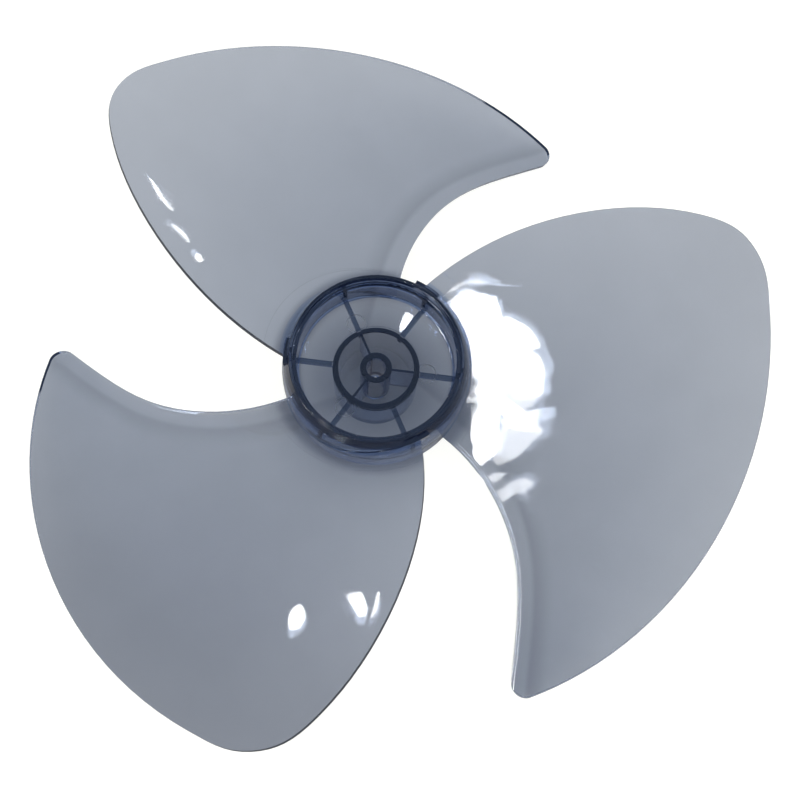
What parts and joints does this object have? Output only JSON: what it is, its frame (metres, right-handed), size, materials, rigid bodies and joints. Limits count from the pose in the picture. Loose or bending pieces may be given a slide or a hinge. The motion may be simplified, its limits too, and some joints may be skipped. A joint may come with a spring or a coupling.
{
  "type": "pedestal fan blade",
  "caption": "Pedestal fan blade moulded in one piece from smoky blue-grey translucent plastic, with broad swept leaves and a round-shouldered hub that is recessed at the front.",
  "frame": {"origin": "middle of the boss's front end, on the shaft axis, where the cap nut seats", "axes": "+Z is the shaft axis towards the front, the side the air is blown to; +X runs along the first stiffening rib behind the web"},
  "size_m": [0.2921, 0.2928, 0.0701],
  "materials": {
    "smoky_plastic": "clear injection-moulded plastic with a smoky blue-grey tint, glossy on both sides"
  },
  "bodies": {
    "root": {"fan_blade": "smoky_plastic"}
  },
  "joints": []
}
